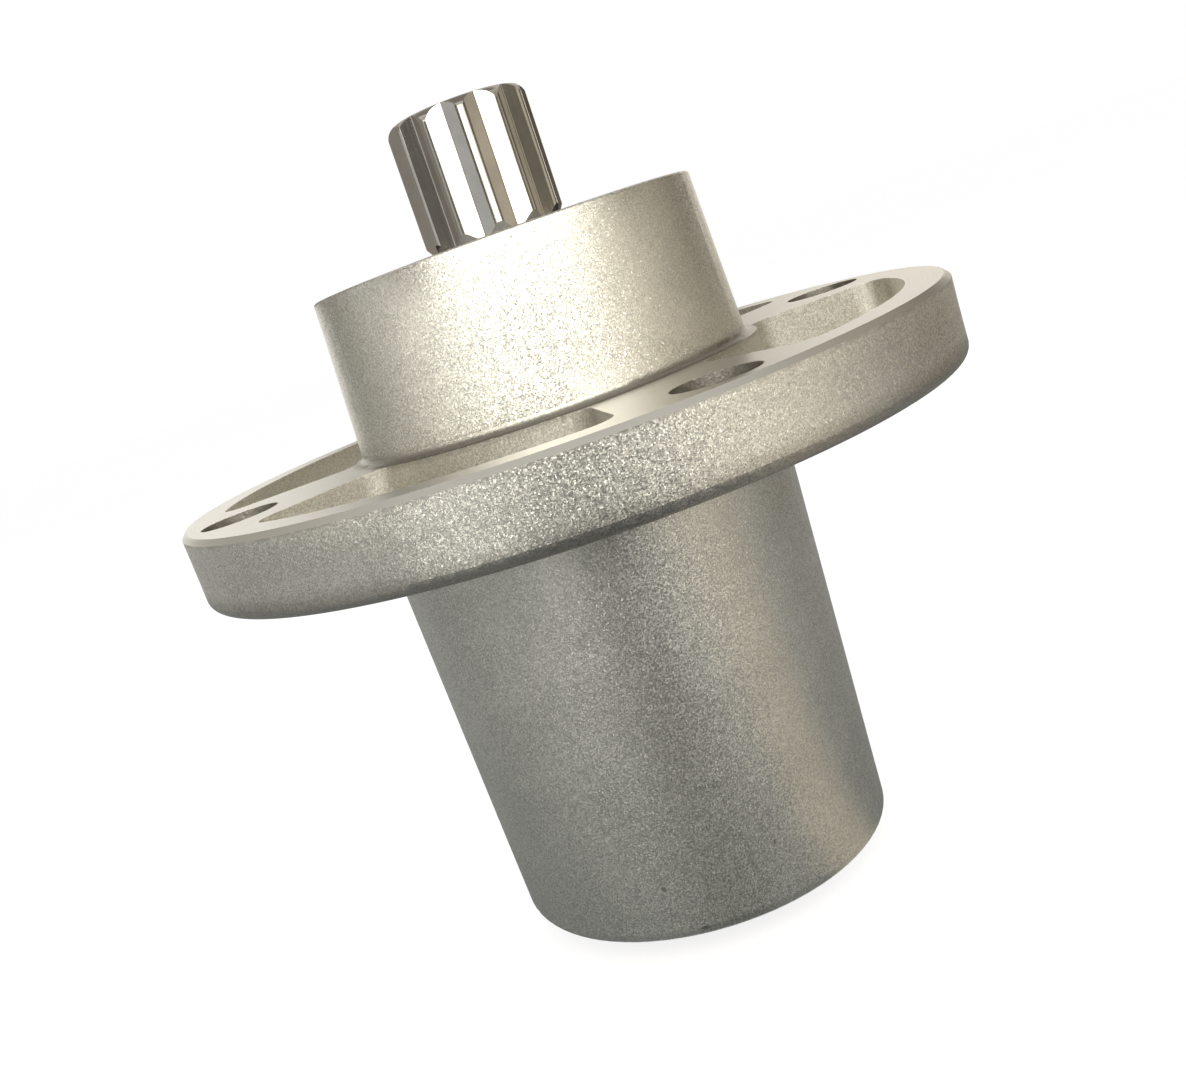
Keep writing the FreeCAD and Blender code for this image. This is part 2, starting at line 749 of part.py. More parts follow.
def cage_rivets(label, middle):
    """The rivets that hold the two cage halves together, as one group of separate solids."""
    shank = s["rivet_dia"].value / 2 - s["press_play"].value
    head = s["rivet_head_dia"].value / 2
    low = s["cage_sheet"].value
    high = low + s["rivet_head_height"].value
    half = [(shank, low), (head, low), (shank, high), (0, high)]
    profile = [(radius, -level) for radius, level in reversed(half)] + half
    outline = Part.makePolygon([Vector(x, 0, z) for x, z in profile + profile[:1]])
    rivet = Part.Face(outline).revolve(Vector(), Vector(0, 0, 1), 360)
    rivet.translate(Vector(pitch_radius.value, 0, 0))
    count = SIZES["ball_count"]
    turns = [(number + 0.5) * 360 / count for number in range(count)]
    group = [rivet.copy().rotate(Vector(), Vector(0, 0, 1), angle) for angle in turns]
    feature = doc.addObject("Part::Feature", label)
    feature.Label = label
    feature.Shape = Part.Compound(group)
    feature.Placement = Placement(Vector(0, 0, middle.value), Rotation())
    nodes.append(feature)


def ball(label, middle, number):
    """One steel ball on the pitch circle."""
    feature = doc.addObject("Part::Sphere", label)
    feature.Label = label
    angle = as_size(360 * number) / s["ball_count"]
    feature.setExpression("Radius", ball_radius.formula)
    feature.setExpression("Placement.Base.x", (pitch_radius * cosine(angle)).formula)
    feature.setExpression("Placement.Base.y", (pitch_radius * sine(angle)).formula)
    feature.setExpression("Placement.Base.z", middle.formula)
    nodes.append(feature)


def check_document():
    """Stops the build if any object failed or any piece has no valid shape."""
    doc.recompute()
    for thing in doc.Objects:
        if "Invalid" in thing.State or "Error" in thing.State:
            raise ValueError(f"{thing.Label} failed: {thing.State}")
    for node in nodes:
        if node.Shape.isNull() or not node.Shape.isValid():
            raise ValueError(f"{node.Label} has no valid shape")


def write_parts():
    os.makedirs("parts", exist_ok=True)
    for node in nodes:
        node.Shape.exportStep(f"parts/{node.Label}.step")
        print(f"{node.Label}: {len(node.Shape.Solids)} solid, {node.Shape.Volume:.1f} cubic millimetres")


housing()
spindle_shaft()
bearing_spacer()
bearing("upper_bearing", upper_bearing_foot)
bearing("lower_bearing", lower_bearing_foot)
check_document()
write_parts()
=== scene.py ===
# %% [markdown]
# # A mower deck spindle, dressed in Blender
# The shapes come from a CAD model that is already packed: a cast housing, a splined shaft and the two
# ball bearings between them. This lesson loads those solids as a fixed frame, gives each surface its
# finish, cuts the threads that the CAD model leaves out, and lights the whole for a picture.

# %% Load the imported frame
import math

import bpy
import numpy as np
from mathutils import Matrix, Vector


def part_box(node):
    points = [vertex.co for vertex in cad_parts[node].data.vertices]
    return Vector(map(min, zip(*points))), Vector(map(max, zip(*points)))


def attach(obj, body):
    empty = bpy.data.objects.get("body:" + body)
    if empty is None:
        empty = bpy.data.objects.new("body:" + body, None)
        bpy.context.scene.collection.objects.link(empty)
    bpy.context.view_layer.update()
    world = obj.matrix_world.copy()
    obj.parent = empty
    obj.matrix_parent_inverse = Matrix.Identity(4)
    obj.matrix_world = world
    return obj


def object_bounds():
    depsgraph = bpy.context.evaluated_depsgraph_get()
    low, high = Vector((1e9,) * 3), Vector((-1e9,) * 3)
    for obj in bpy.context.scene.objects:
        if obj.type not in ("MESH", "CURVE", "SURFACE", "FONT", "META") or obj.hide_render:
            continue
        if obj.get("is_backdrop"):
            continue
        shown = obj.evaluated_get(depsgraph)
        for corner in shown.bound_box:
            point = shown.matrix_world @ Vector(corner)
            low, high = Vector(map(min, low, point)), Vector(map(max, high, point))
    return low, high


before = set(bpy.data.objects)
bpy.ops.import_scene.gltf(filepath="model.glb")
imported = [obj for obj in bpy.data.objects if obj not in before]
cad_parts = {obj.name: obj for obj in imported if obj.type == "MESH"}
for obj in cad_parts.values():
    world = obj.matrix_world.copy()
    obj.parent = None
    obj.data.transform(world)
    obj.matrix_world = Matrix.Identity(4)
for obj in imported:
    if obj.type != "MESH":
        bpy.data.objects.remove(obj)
cad_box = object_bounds()
MM = 0.001
print("box in mm:", [[round(c / MM, 1) for c in corner] for corner in cad_box])

# %% [markdown]
# ## Camera
# A camera can be placed by eye, but matching a photograph that way takes many tries. Here the viewpoint
# was worked out first, from the outlines of the flange, boss and tube. The part stays upright in its own
# frame, so its lean in the picture comes from rolling the camera. The lens centre lies left of the
# middle of the picture, which is what the shift says.

# %% Set up the camera
PICTURE_WIDTH, PICTURE_HEIGHT = 1186, 1080
FOCAL_PIXELS = 1296.506
LENS_CENTRE = (493.885, 540.835)
SENSOR_WIDTH = 36.0
STAND_DISTANCE, STAND_HEIGHT = 0.234607, 0.021192
STAND_TURN, PAN, TILT, ROLL = np.radians([23.5414, -4.569, -10.347, -19.650])


def camera_matrix():
    """Camera axes from pan, tilt and roll, then everything turned about Z by the stand's own angle."""
    ahead = np.array([np.sin(PAN) * np.cos(TILT), np.cos(PAN) * np.cos(TILT), np.sin(TILT)])
    level_right = np.array([np.cos(PAN), -np.sin(PAN), 0.0])
    level_up = np.cross(level_right, ahead)
    right = np.cos(ROLL) * level_right + np.sin(ROLL) * level_up
    up = np.cos(ROLL) * level_up - np.sin(ROLL) * level_right
    columns = np.eye(4)
    columns[:3, :4] = np.stack([right, up, -ahead, [0.0, -STAND_DISTANCE, STAND_HEIGHT]], axis=1)
    return Matrix.Rotation(STAND_TURN, 4, "Z") @ Matrix(columns.tolist())


camera_data = bpy.data.cameras.new("photo_camera")
camera_data.sensor_width = SENSOR_WIDTH
camera_data.lens = SENSOR_WIDTH * FOCAL_PIXELS / PICTURE_WIDTH
camera_data.shift_x = (PICTURE_WIDTH / 2 - LENS_CENTRE[0]) / PICTURE_WIDTH
camera_data.shift_y = (LENS_CENTRE[1] - PICTURE_HEIGHT / 2) / PICTURE_WIDTH
camera_data.clip_start = 0.01
camera = bpy.data.objects.new("photo_camera", camera_data)
bpy.context.scene.collection.objects.link(camera)
camera.matrix_world = camera_matrix()
bpy.context.scene.camera = camera
print("camera at", [round(c, 4) for c in camera.location], "lens", round(camera_data.lens, 2))

# %% [markdown]
# ## Small helpers for shader nodes
# Every finish below is a tree of nodes. Typing out each node and link takes many lines, so `put` makes a
# node and wires it in one call: an input gets a link when it is given a socket, and a plain value
# otherwise. Effects that several finishes share are node groups with named sockets.

# %% Node helpers


def put(tree, kind, wires=(), **settings):
    """Adds one shader node, with its settings, and links or sets the inputs named in wires."""
    node = tree.nodes.new("ShaderNode" + kind)
    for name, value in settings.items():
        setattr(node, name, value)
    for name, value in dict(wires).items():
        if isinstance(value, bpy.types.NodeSocket):
            tree.links.new(value, node.inputs[name])
        else:
            node.inputs[name].default_value = value
    return node


def calc(tree, operation, first, second=0.0):
    """The result socket of one Math node."""
    return put(tree, "Math", {0: first, 1: second}, operation=operation).outputs[0]


def ramp(tree, value, low, high, start=0.0, end=1.0):
    """A smooth step: start where value is below low, end where it is above high."""
    wires = {"Value": value, "From Min": low, "From Max": high, "To Min": start, "To Max": end}
    return put(tree, "MapRange", wires, interpolation_type="SMOOTHSTEP").outputs[0]


def mix_colour(tree, share, first, second):
    """first where share is 0 and second where it is 1."""
    return put(tree, "Mix", {0: share, 6: first, 7: second}, data_type="RGBA").outputs[2]


def mix_value(tree, share, first, second):
    """The same for plain numbers."""
    return put(tree, "Mix", {0: share, 2: first, 3: second}, data_type="FLOAT").outputs[0]


def new_group(name, inputs, outputs):
    """An empty node group; inputs maps each name to its default, outputs each name to its kind."""
    tree = bpy.data.node_groups.new(name, "ShaderNodeTree")
    for label, default in inputs.items():
        kind = "NodeSocketVector" if isinstance(default, tuple) else "NodeSocketFloat"
        socket = tree.interface.new_socket(label, in_out="INPUT", socket_type=kind)
        socket.default_value = default
    for label, kind in outputs.items():
        tree.interface.new_socket(label, in_out="OUTPUT", socket_type="NodeSocket" + kind)
    source = tree.nodes.new("NodeGroupInput")
    result = tree.nodes.new("NodeGroupOutput")
    return tree, source.outputs, result.inputs


def use(tree, group, **wires):
    """Places a node group; underscores in the names stand for spaces."""
    node = put(tree, "Group", node_tree=group)
    for name, value in wires.items():
        socket = node.inputs[name.replace("_", " ")]
        if isinstance(value, bpy.types.NodeSocket):
            tree.links.new(value, socket)
        else:
            socket.default_value = value
    return node.outputs


def new_finish(name):
    """A material with its shader, and the part's own coordinates in metres."""
    material = bpy.data.materials.new(name)
    material.use_nodes = True
    tree = material.node_tree
    shader = tree.nodes["Principled BSDF"]
    coords = put(tree, "TexCoord").outputs["Object"]
    return material, tree, shader, coords


ORIGIN = (0.0, 0.0, 0.0)
print("helpers ready")

# %% [markdown]
# ## Places on a turned part
# Nearly everything here is round, so a finish often has to know how far a point lies from the shaft's
# axis and how high it is. One small group turns X, Y and Z into a radius and a level.

# %% Group: place about the axis
about_axis, place_in, place_out = new_group(
    "place_about_axis", {"Vector": ORIGIN}, {"Radius": "Float", "Level": "Float"})
parts = put(about_axis, "SeparateXYZ", {0: place_in["Vector"]}).outputs
flat = put(about_axis, "CombineXYZ", {0: parts[0], 1: parts[1]}).outputs[0]
away = put(about_axis, "VectorMath", {0: flat}, operation="LENGTH").outputs["Value"]
about_axis.links.new(away, place_out["Radius"])
about_axis.links.new(parts[2], place_out["Level"])
print("group", about_axis.name, "gives", [s.name for s in place_out if s.name])

# %% [markdown]
# ## Blasted grain
# The housing was cast and then shot-blasted. Each shot leaves a tiny dent, so the skin is made of small
# facets that catch the light one by one. Smooth noise alone looks like orange peel. Here a Voronoi
# pattern gives each dent its own tilt, and fine noise roughens what lies between. One dent in twenty leans
# further than the rest and glints, and the casting also paints those dents near-white as a painted glint.

# %% Group: blasted grain
DENTS_PER_METRE, GLINT_LEAN = 5300.0, 1.35
blasted_grain, grain_in, grain_out = new_group(
    "blasted_grain", {"Vector": ORIGIN, "Dents": DENTS_PER_METRE, "Tilt": 0.20},
    {"Normal": "Vector", "Height": "Float", "Facet": "Float", "Glint": "Float", "Cloud": "Float"})
dents = put(blasted_grain, "TexVoronoi", {"Vector": grain_in["Vector"], "Scale": grain_in["Dents"]}).outputs
hue = put(blasted_grain, "SeparateColor", {0: dents["Color"]}).outputs
glint = ramp(blasted_grain, hue[2], 0.93, 0.97)
further = ramp(blasted_grain, glint, 0.0, 1.0, 1.0, GLINT_LEAN)
tilt = calc(blasted_grain, "MULTIPLY", grain_in["Tilt"], further)
HALF = (0.5, 0.5, 0.5)
lean = put(blasted_grain, "VectorMath", {0: dents["Color"], 1: HALF}, operation="SUBTRACT").outputs[0]
lean = put(blasted_grain, "VectorMath", {0: lean, "Scale": tilt}, operation="SCALE").outputs[0]
skin = put(blasted_grain, "NewGeometry").outputs["Normal"]
lean = put(blasted_grain, "VectorMath", {0: skin, 1: lean}, operation="ADD").outputs[0]
lean = put(blasted_grain, "VectorMath", {0: lean}, operation="NORMALIZE").outputs[0]
blasted_grain.links.new(lean, grain_out["Normal"])
fine = put(blasted_grain, "TexNoise", {"Vector": grain_in["Vector"], "Scale": 5200.0, "Detail": 2.0})
blasted_grain.links.new(fine.outputs[0], grain_out["Height"])
blasted_grain.links.new(hue[1], grain_out["Facet"])
blasted_grain.links.new(glint, grain_out["Glint"])
cloud = put(blasted_grain, "TexNoise", {"Vector": grain_in["Vector"], "Scale": 90.0, "Detail": 4.0})
blasted_grain.links.new(cloud.outputs[0], grain_out["Cloud"])
print("group", blasted_grain.name, "dent size about", round(1000 / DENTS_PER_METRE, 2), "mm")

# %% [markdown]
# ## Tool lines
# A lathe leaves fine rings on a face and fine rings round a cylinder. Both come from one-dimensional
# noise: read along the radius it marks the face, and read along the level it marks the wall.

# %% Group: tool lines
tool_lines, lines_in, lines_out = new_group(
    "tool_lines", {"Vector": ORIGIN, "Pitch": 0.00018}, {"Face": "Float", "Wall": "Float"})
spot = use(tool_lines, about_axis, Vector=lines_in["Vector"])
for source, target in (("Radius", "Face"), ("Level", "Wall")):
    along = calc(tool_lines, "DIVIDE", spot[source], lines_in["Pitch"])
    rings = put(tool_lines, "TexNoise", {"W": along, "Scale": 1.0, "Detail": 2.0}, noise_dimensions="1D")
    tool_lines.links.new(rings.outputs[0], lines_out[target])
print("group", tool_lines.name)

# %% [markdown]
# ## Rubbed and shaded rings, and nicks
# Edges that stand out get rubbed bright in the crate, and the tube has a few small nicks near its foot.
# A rub is a soft ring round the axis, broken up by noise; the same ring, left whole, also places painted
# shade on the casting. A nick is a small drawn-out spot at one place.

# %% Groups: rubbed ring and nick
rub_and_shade_ring, ring_in, ring_out = new_group(
    "rub_and_shade_ring", {"Vector": ORIGIN, "Ring Radius": 0.07, "Ring Level": 0.0, "Width": 0.0008, "Patchy": 1.0},
    {"Mask": "Float"})
spot = use(rub_and_shade_ring, about_axis, Vector=ring_in["Vector"])
off_radius = calc(rub_and_shade_ring, "SUBTRACT", spot["Radius"], ring_in["Ring Radius"])
off_level = calc(rub_and_shade_ring, "SUBTRACT", spot["Level"], ring_in["Ring Level"])
gap = put(rub_and_shade_ring, "CombineXYZ", {0: off_radius, 1: off_level}).outputs[0]
gap = put(rub_and_shade_ring, "VectorMath", {0: gap}, operation="LENGTH").outputs["Value"]
patchy = put(rub_and_shade_ring, "TexNoise", {"Vector": ring_in["Vector"], "Scale": 260.0, "Detail": 4.0}).outputs[0]
near = ramp(rub_and_shade_ring, calc(rub_and_shade_ring, "DIVIDE", gap, ring_in["Width"]), 0.2, 1.0, 1.0, 0.0)
broken = mix_value(rub_and_shade_ring, ring_in["Patchy"], 1.0, ramp(rub_and_shade_ring, patchy, 0.35, 0.6))
rub_and_shade_ring.links.new(calc(rub_and_shade_ring, "MULTIPLY", near, broken), ring_out["Mask"])

nick, nick_in, nick_out = new_group(
    "nick", {"Vector": ORIGIN, "Spot": ORIGIN, "Reach": 0.0006, "Stretch": (1.0, 1.0, 1.0)},
    {"Mask": "Float"})
offset = put(nick, "VectorMath", {0: nick_in["Vector"], 1: nick_in["Spot"]}, operation="SUBTRACT").outputs[0]
offset = put(nick, "VectorMath", {0: offset, 1: nick_in["Stretch"]}, operation="MULTIPLY").outputs[0]
ragged = put(nick, "TexNoise", {"Vector": nick_in["Vector"], "Scale": 1800.0, "Detail": 2.0}).outputs[0]
far = put(nick, "VectorMath", {0: offset}, operation="LENGTH").outputs["Value"]
far = calc(nick, "ADD", calc(nick, "DIVIDE", far, nick_in["Reach"]), calc(nick, "SUBTRACT", ragged, 0.5))
nick.links.new(ramp(nick, far, 0.5, 1.0, 1.0, 0.0), nick_out["Mask"])
print("groups", rub_and_shade_ring.name, nick.name)

# %% [markdown]
# ## The casting's finish
# The housing is one piece of metal with two skins: blasted casting nearly everywhere, and cut metal on
# the flange face, its chamfer, the two ends and the bores. In the pockets the blasted skin is smoother,
# and painted shade darkens it. Two materials would need split faces, and the CAD mesh must stay whole,
# so one material blends the skins by place and by which way the surface faces.

# %% Finish: blasted casting
FLANGE_RADIUS, FLANGE_UNDER, POCKET_REACH = 70.0 * MM, -13.8 * MM, 67.5 * MM
CHAMFER, BOSS_TOP, TUBE_FOOT, BORE_RADIUS = 0.9 * MM, 29.1 * MM, -91.1 * MM, 26.2 * MM
BOLT_PLACE, BOLT_REACH = 42.43 * MM, 6.9 * MM
HAIR = 0.06 * MM
CAST_LIGHT, CAST_DARK = (0.89, 0.875, 0.82, 1.0), (0.61, 0.60, 0.565, 1.0)
CUT_LIGHT, CUT_DARK = (0.63, 0.615, 0.578, 1.0), (0.555, 0.54, 0.508, 1.0)
# The near-white colour of a painted glint.
PAINTED_GLINT = (0.95, 0.94, 0.91, 1.0)
SHADE_AND_GRIME = (0.20, 0.18, 0.15, 1.0)
POCKET_SHADE_TONE = (0.46, 0.43, 0.38, 1.0)
# Shares from 0 to 1: the painted shade in the bolt holes, the grime in the nicks, and how far the pockets are
# darkened with painted shade and smoothed.
HOLE_SHADE, NICK_GRIME = 0.6, 0.55
POCKET_SHADE, POCKET_SMOOTH = 0.32, 0.65
# Each ring of painted shade: radius, level, width in mm, and how much of the metal its dark colour covers.
SHADE_RINGS = {
    "lower_edge": (69.2, -13.6, 4.6, 0.55),
    "under_flange": (37.6, -13.8, 9.0, 0.35),
    "boss_root": (36.6, 0.3, 2.0, 0.8),
}
# Each nick: place in mm, reach in mm, and how much it is squeezed along X, Y and Z.
NICKS = {
    "long": ((5.5, -34.8, -80.7), 0.32, (0.7, 1.0, 0.45)),
    "low": ((9.9, -33.5, -89.1), 0.5, (0.5, 1.0, 1.0)),
    "side": ((23.5, -26.3, -78.8), 0.4, (1.0, 1.0, 0.7)),
}


def bolt_holes(tree, coords):
    """1 inside the four bolt holes: X and Y are folded onto one corner, and its hole's distance is read."""
    folded = put(tree, "VectorMath", {0: coords}, operation="ABSOLUTE").outputs[0]
    hole = (BOLT_PLACE, BOLT_PLACE, 0.0)
    offset = put(tree, "VectorMath", {0: folded, 1: hole}, operation="SUBTRACT").outputs[0]
    spot = use(tree, about_axis, Vector=offset)
    return calc(tree, "LESS_THAN", spot["Radius"], BOLT_REACH)


def pocket_walls(tree, coords):
    """1 in the flange's pockets: inside its rim, and below its face but above its underside."""
    spot = use(tree, about_axis, Vector=coords)
    below = calc(tree, "LESS_THAN", spot["Level"], -HAIR)
    above = calc(tree, "GREATER_THAN", spot["Level"], FLANGE_UNDER + HAIR)
    inward = calc(tree, "LESS_THAN", spot["Radius"], POCKET_REACH)
    return calc(tree, "MULTIPLY", inward, calc(tree, "MULTIPLY", below, above))


def cut_skin(tree, coords):
    """1 on cut metal: flange face and chamfer, both end faces, and everything inside the bores."""
    spot = use(tree, about_axis, Vector=coords)
    level, radius = spot["Level"], spot["Radius"]
    upward = put(tree, "SeparateXYZ", {0: put(tree, "NewGeometry").outputs["Normal"]}).outputs[2]
    above = calc(tree, "GREATER_THAN", level, -CHAMFER - HAIR)
    face = calc(tree, "MULTIPLY", ramp(tree, upward, 0.60, 0.68), above)
    face = calc(tree, "MULTIPLY", face, calc(tree, "LESS_THAN", level, HAIR))
    ends = calc(tree, "ADD", calc(tree, "GREATER_THAN", level, BOSS_TOP - HAIR),
                calc(tree, "LESS_THAN", level, TUBE_FOOT + HAIR))
    inside = calc(tree, "LESS_THAN", radius, BORE_RADIUS)
    return calc(tree, "MAXIMUM", face, calc(tree, "MAXIMUM", ends, inside))


def nicked(tree, coords):
    """1 in any of the nicks."""
    mask = 0.0
    for place, reach, stretch in NICKS.values():
        spot = tuple(c * MM for c in place)
        dent = use(tree, nick, Vector=coords, Spot=spot, Reach=reach * MM, Stretch=stretch)["Mask"]
        mask = calc(tree, "MAXIMUM", dent, mask)
    return mask


def painted_shade(tree, coords, holes):
    """Painted shade: how much of the metal the dark colour covers, in soft rings by the flange and the boss's
    root, and in the bolt holes.
    """
    mask = calc(tree, "MULTIPLY", holes, HOLE_SHADE)
    for radius, level, width, share in SHADE_RINGS.values():
        place = {"Ring_Radius": radius * MM, "Ring_Level": level * MM, "Width": width * MM, "Patchy": 0.0}
        ring = use(tree, rub_and_shade_ring, Vector=coords, **place)["Mask"]
        mask = calc(tree, "MAXIMUM", calc(tree, "MULTIPLY", ring, share), mask)
    return mask


def blasted_casting():
    """Cast aluminium: dented grey skin, finer and brighter where a tool has cut it."""
    material, tree, shader, coords = new_finish("blasted_casting")
    grain = use(tree, blasted_grain, Vector=coords)
    lines = use(tree, tool_lines, Vector=coords)
    holes = bolt_holes(tree, coords)
    cut, dent = cut_skin(tree, coords), nicked(tree, coords)
    edge = {"Ring_Radius": FLANGE_RADIUS, "Ring_Level": -CHAMFER, "Width": 0.7 * MM}
    rub = use(tree, rub_and_shade_ring, Vector=coords, **edge)["Mask"]
    facet_shade = ramp(tree, grain["Facet"], 0.0, 1.0, -0.5, 1.1)
    shade = calc(tree, "ADD", ramp(tree, grain["Cloud"], 0.35, 0.65, 0.0, 0.4), facet_shade)
    cast = mix_colour(tree, shade, CAST_DARK, CAST_LIGHT)
    # Painted glint: the dents that lean furthest turn near-white.
    cast = mix_colour(tree, grain["Glint"], cast, PAINTED_GLINT)
    metal = mix_colour(tree, grain["Cloud"], CUT_DARK, CUT_LIGHT)
    colour = mix_colour(tree, calc(tree, "MAXIMUM", cut, rub), cast, metal)
    pockets = pocket_walls(tree, coords)
    # Painted shade: the pocket walls are pulled part of the way towards a darker brown-grey.
    colour = mix_colour(tree, calc(tree, "MULTIPLY", pockets, POCKET_SHADE), colour, POCKET_SHADE_TONE)
    # Painted shade in the bolt holes and the rings, and grime in the nicks, both pull the colour towards the
    # dark one.
    shade_and_dirt = calc(tree, "MAXIMUM", painted_shade(tree, coords, holes), calc(tree, "MULTIPLY", dent, NICK_GRIME))
    tree.links.new(mix_colour(tree, shade_and_dirt, colour, SHADE_AND_GRIME), shader.inputs["Base Color"])
    shader.inputs["Metallic"].default_value = 1.0
    cast_rough = ramp(tree, grain["Facet"], 0.0, 1.0, 0.32, 0.42)
    cut_rough = ramp(tree, lines["Face"], 0.3, 0.7, 0.30, 0.40)
    tree.links.new(mix_value(tree, cut, cast_rough, cut_rough), shader.inputs["Roughness"])
    height = mix_value(tree, cut, grain["Height"], calc(tree, "MULTIPLY", lines["Face"], 0.3))
    height = calc(tree, "SUBTRACT", height, calc(tree, "MULTIPLY", dent, 2.0))
    calm = put(tree, "NewGeometry").outputs["Normal"]
    even = calc(tree, "MAXIMUM", cut, calc(tree, "MULTIPLY", pockets, POCKET_SMOOTH))
    skin = put(tree, "Mix", {0: even, 4: grain["Normal"], 5: calm}, data_type="VECTOR").outputs[1]
    bump = put(tree, "Bump", {"Height": height, "Normal": skin, "Strength": 0.4, "Distance": 0.04 * MM})
    tree.links.new(bump.outputs[0], shader.inputs["Normal"])
    return material


casting = blasted_casting()
print("finish", casting.name, "nodes", len(casting.node_tree.nodes))

# %% [markdown]
# ## The shaft's finish
# The splined end is polished steel. A mirror would look like chrome, so faint draw lines run along the
# flutes and a slow ripple bends the reflections a little, as the grinding did. Ends and seat are turned.

# %% Finish: polished shaft
SPLINE_FOOT = 29.4 * MM


def polished_steel():
    """Steel, polished along the spline and turned elsewhere."""
    material, tree, shader, coords = new_finish("polished_shaft")
    spot = use(tree, about_axis, Vector=coords)
    lines = use(tree, tool_lines, Vector=coords, Pitch=0.14 * MM)
    drawn = put(tree, "Mapping", {"Vector": coords, "Scale": (5200.0, 5200.0, 90.0)}).outputs[0]
    streaks = put(tree, "TexNoise", {"Vector": drawn, "Scale": 1.0, "Detail": 3.0}).outputs[0]
    ripple = put(tree, "TexNoise", {"Vector": coords, "Scale": 330.0, "Detail": 2.0}).outputs[0]
    clouds = {"Vector": coords, "Scale": 140.0, "Detail": 5.0, "Roughness": 0.6}
    stain = put(tree, "TexNoise", clouds).outputs[0]
    upward = put(tree, "SeparateXYZ", {0: put(tree, "NewGeometry").outputs["Normal"]}).outputs[2]
    facing = ramp(tree, calc(tree, "ABSOLUTE", upward), 0.90, 0.97)
    high_up = ramp(tree, spot["Level"], SPLINE_FOOT - HAIR, SPLINE_FOOT)
    splined = calc(tree, "MULTIPLY", high_up, calc(tree, "SUBTRACT", 1.0, facing))
    colour = mix_colour(tree, ramp(tree, stain, 0.4, 0.7), (0.66, 0.645, 0.62, 1.0), (0.58, 0.565, 0.54, 1.0))
    tree.links.new(colour, shader.inputs["Base Color"])
    shader.inputs["Metallic"].default_value = 1.0
    turned_rough = ramp(tree, lines["Wall"], 0.3, 0.7, 0.22, 0.34)
    polish_rough = ramp(tree, streaks, 0.3, 0.75, 0.09, 0.17)
    tree.links.new(mix_value(tree, splined, turned_rough, polish_rough), shader.inputs["Roughness"])
    turned = mix_value(tree, facing, lines["Wall"], lines["Face"])
    polish = calc(tree, "ADD", calc(tree, "MULTIPLY", streaks, 0.10), calc(tree, "MULTIPLY", ripple, 1.3))
    height = mix_value(tree, splined, calc(tree, "MULTIPLY", turned, 0.5), polish)
    bump = put(tree, "Bump", {"Height": height, "Strength": 0.35, "Distance": 0.05 * MM})
    tree.links.new(bump.outputs[0], shader.inputs["Normal"])
    return material


shaft_steel = polished_steel()
print("finish", shaft_steel.name, "nodes", len(shaft_steel.node_tree.nodes))

# %% [markdown]
# ## Bearing finishes
# Rings and spacer are ground steel, the balls are polished, the cages are pressed sheet, and the seals
# are moulded rubber with fine rings. They show only from above and below, in the gap round the shaft.

# %% Finishes: bearings


def ground_steel():
    """Bearing rings and spacer: fine grinding rings on faces and walls."""
    material, tree, shader, coords = new_finish("ground_steel")
    lines = use(tree, tool_lines, Vector=coords, Pitch=0.07 * MM)
    film = put(tree, "TexNoise", {"Vector": coords, "Scale": 210.0, "Detail": 4.0}).outputs[0]
    colour = mix_colour(tree, ramp(tree, film, 0.35, 0.7), (0.60, 0.60, 0.59, 1.0), (0.52, 0.515, 0.50, 1.0))
    tree.links.new(colour, shader.inputs["Base Color"])
    shader.inputs["Metallic"].default_value = 1.0
    both = calc(tree, "ADD", lines["Face"], lines["Wall"])
    tree.links.new(ramp(tree, both, 0.7, 1.3, 0.16, 0.28), shader.inputs["Roughness"])
    bump = put(tree, "Bump", {"Height": both, "Strength": 0.2, "Distance": 0.03 * MM})
    tree.links.new(bump.outputs[0], shader.inputs["Normal"])
    return material


def ball_steel():
    """Polished balls, with a faint haze of fine scuffs."""
    material, tree, shader, coords = new_finish("polished_balls")
    scratches = {"Vector": coords, "Scale": 2600.0, "Detail": 4.0, "Roughness": 0.7}
    scuff = put(tree, "TexNoise", scratches).outputs[0]
    haze = put(tree, "TexNoise", {"Vector": coords, "Scale": 320.0, "Detail": 3.0}).outputs[0]
    colour = mix_colour(tree, haze, (0.74, 0.74, 0.74, 1.0), (0.66, 0.66, 0.655, 1.0))
    tree.links.new(colour, shader.inputs["Base Color"])
    shader.inputs["Metallic"].default_value = 1.0
    tree.links.new(ramp(tree, haze, 0.3, 0.7, 0.05, 0.11), shader.inputs["Roughness"])
    bump = put(tree, "Bump", {"Height": scuff, "Strength": 0.08, "Distance": 0.01 * MM})
    tree.links.new(bump.outputs[0], shader.inputs["Normal"])
    return material


def pressed_steel():
    """Cage halves and rivets: satin sheet with a little drawn-out grain."""
    material, tree, shader, coords = new_finish("pressed_cage_steel")
    grain = put(tree, "TexNoise", {"Vector": coords, "Scale": 900.0, "Detail": 4.0}).outputs[0]
    colour = mix_colour(tree, grain, (0.57, 0.56, 0.54, 1.0), (0.47, 0.46, 0.445, 1.0))
    tree.links.new(colour, shader.inputs["Base Color"])
    shader.inputs["Metallic"].default_value = 1.0
    tree.links.new(ramp(tree, grain, 0.3, 0.7, 0.30, 0.42), shader.inputs["Roughness"])
    bump = put(tree, "Bump", {"Height": grain, "Strength": 0.25, "Distance": 0.03 * MM})
    tree.links.new(bump.outputs[0], shader.inputs["Normal"])
    return material


